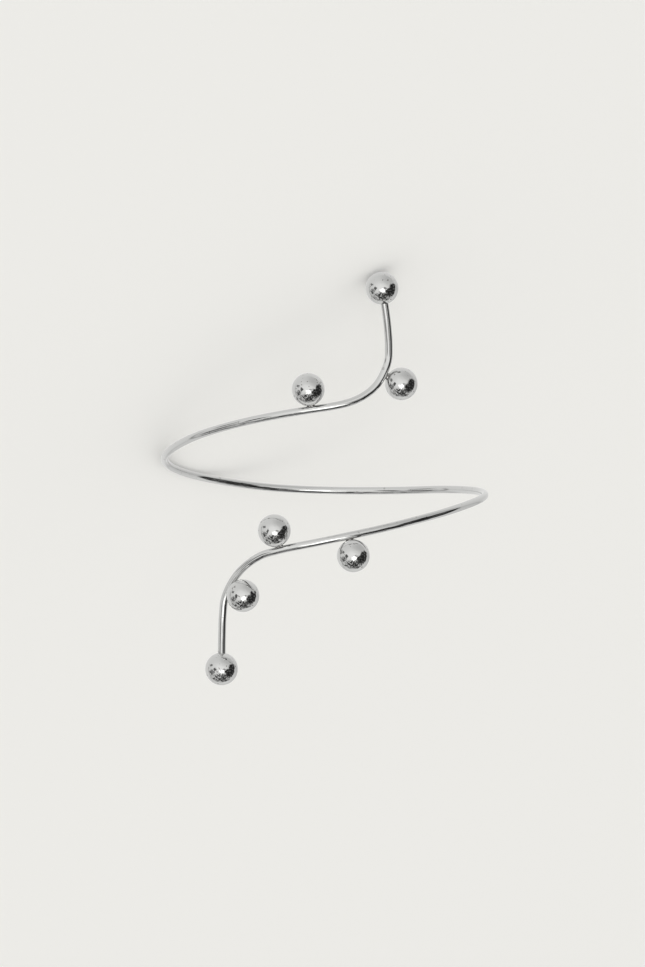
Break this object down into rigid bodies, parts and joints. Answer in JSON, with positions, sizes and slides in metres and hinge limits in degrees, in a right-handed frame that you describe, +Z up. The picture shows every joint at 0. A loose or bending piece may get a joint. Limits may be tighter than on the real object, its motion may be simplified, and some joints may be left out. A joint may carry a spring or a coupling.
{
  "type": "upper arm cuff",
  "caption": "Springy open upper arm cuff: a round polished wire wound once round the arm, both ends bent along it, with balls on its tips and soldered beside its bends.",
  "frame": {"origin": "middle of the box's base, on the floor that the cuff stands on by itself", "axes": "+Z up; the hollow for the arm leans from +Z towards +Y by 33.2 degrees; the side with the bent ends and balls faces +X and -Y"},
  "size_m": [0.0848, 0.0935, 0.0675],
  "materials": {
    "metal": "polished, silver coloured"
  },
  "bodies": {
    "root": {"coil": "metal", "foot_ball": "metal", "tip_ball": "metal"}
  },
  "joints": []
}
